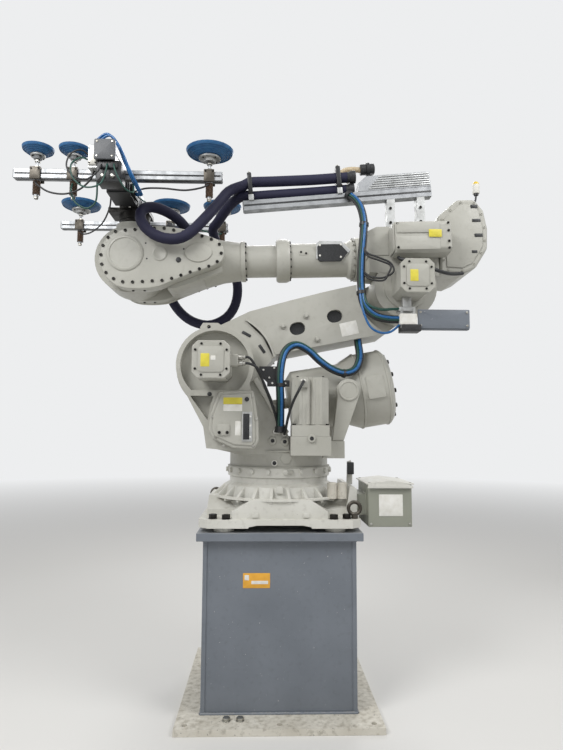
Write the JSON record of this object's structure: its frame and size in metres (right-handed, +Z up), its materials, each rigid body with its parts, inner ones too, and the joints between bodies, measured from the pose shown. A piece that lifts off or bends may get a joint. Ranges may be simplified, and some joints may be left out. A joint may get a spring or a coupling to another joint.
{
  "type": "industrial robot arm",
  "caption": "Six-axis palletising robot arm, folded, with a vacuum cup gripper and hose rail, on a welded pedestal.",
  "frame": {"origin": "on the floor, under the middle of the pedestal, on the vertical axis that the robot turns about", "axes": "+Z up; +X from the gripper towards the robot's rear; +Y from the side with the shoulder motor to the other side"},
  "size_m": [2.4597, 1.065, 2.7598],
  "materials": {
    "grey_paint": "semi-gloss light grey paint on castings",
    "cream_paint": "worn cream paint",
    "slate_paint": "satin blue-grey paint",
    "white_paint": "light grey paint",
    "olive_paint": "grey-green paint",
    "dark_steel": "dark forged steel",
    "black_plastic": "matte black",
    "dark_metal": "black coated metal",
    "cable_rubber": "black cable sheath",
    "navy_hose": "navy protective hose",
    "aluminium": "natural anodised",
    "blue_rubber": "blue suction cup rubber",
    "lamp_plastic": "white lamp body"
  },
  "bodies": {
    "pedestal": {"floor_plate": "cream_paint", "column": "slate_paint", "top_plate": "slate_paint", "base_casting": "white_paint", "lifting_eye_right": "dark_steel", "lifting_eye_left": "dark_steel", "junction_box": "olive_paint", "junction_lid": "white_paint"},
    "frame": {"turning_disc": "grey_paint", "frame_casting": "grey_paint", "ear_cover": "grey_paint", "axis2_motor": "grey_paint", "axis1_motor": "grey_paint", "balancer_bracket_near": "grey_paint", "balancer_bracket_far": "grey_paint", "cable_bracket": "black_plastic", "motor_cables": "cable_rubber"},
    "balancer": {"balancer": "grey_paint"},
    "lower_arm": {"lower_arm": "grey_paint", "shoulder_cables": "cable_rubber"},
    "upper_arm": {"arm_house": "grey_paint", "gear_cover": "grey_paint", "wrist_motor_near": "grey_paint", "wrist_motor_far": "grey_paint", "axis3_motor": "grey_paint", "connector_block": "white_paint", "signal_lamp": "lamp_plastic", "hose_rail": "aluminium", "ribbed_box": "aluminium", "rail_bracket_front": "aluminium", "rail_bracket_rear": "aluminium", "hose_clamp_front": "black_plastic", "hose_clamp_rear": "black_plastic", "hose_front": "navy_hose", "hose_back": "navy_hose", "elbow_cables": "cable_rubber"},
    "wrist": {"front_tube": "grey_paint", "tube_hatch": "black_plastic", "extension_tube": "grey_paint", "wrist_housing": "grey_paint", "wrist_cover_near": "grey_paint", "wrist_cover_far": "grey_paint"},
    "tilt_head": {"tilt_head": "grey_paint"},
    "gripper": {"tool_adapter": "dark_metal", "cross_beam": "aluminium", "near_bar": "aluminium", "far_bar": "aluminium", "vacuum_unit": "black_plastic", "valve_block": "aluminium", "cup_near_a": "blue_rubber", "cup_near_b": "blue_rubber", "cup_near_c": "blue_rubber", "cup_far_a": "blue_rubber", "cup_far_b": "blue_rubber", "cup_far_c": "blue_rubber"}
  },
  "joints": [
    {"name": "axis1", "type": "hinge", "parent": "pedestal", "child": "frame", "pos_m": [0, 0, 1.0995], "axis": [0, 0, 1], "range_deg": [-170, 170]},
    {"name": "axis2", "type": "hinge", "parent": "frame", "child": "lower_arm", "pos_m": [-0.32, 0, 1.654], "axis": [0, -1, 0], "range_deg": [0, 110], "deforming": ["shoulder_cables"]},
    {"name": "axis3", "type": "hinge", "parent": "lower_arm", "child": "upper_arm", "pos_m": [0.66206, 0, 2.09124], "axis": [0, 1, 0], "range_deg": [0, 105], "deforming": ["elbow_cables"]},
    {"name": "axis4", "type": "hinge", "parent": "upper_arm", "child": "wrist", "pos_m": [0.66206, 0, 2.30024], "axis": [-0.9995, 0, -0.0314], "range_deg": [-90, 90], "deforming": ["hose_front", "hose_back"]},
    {"name": "axis5", "type": "hinge", "parent": "wrist", "child": "tilt_head", "pos_m": [-0.81191, 0, 2.25392], "axis": [0, -1, 0], "range_deg": [-15, 150]},
    {"name": "axis6", "type": "hinge", "parent": "tilt_head", "child": "gripper", "pos_m": [-0.81191, 0, 2.46892], "axis": [0, 0, 1], "range_deg": [-120, 120]},
    {"name": "balancer_pivot", "type": "hinge", "parent": "frame", "child": "balancer", "pos_m": [0.345, 0, 1.538], "axis": [0, -1, 0], "range_deg": [-25, 0]}
  ],
  "couplings": [
    {"joint": "balancer_pivot", "follows": "axis2", "ratio": -0.22}
  ]
}
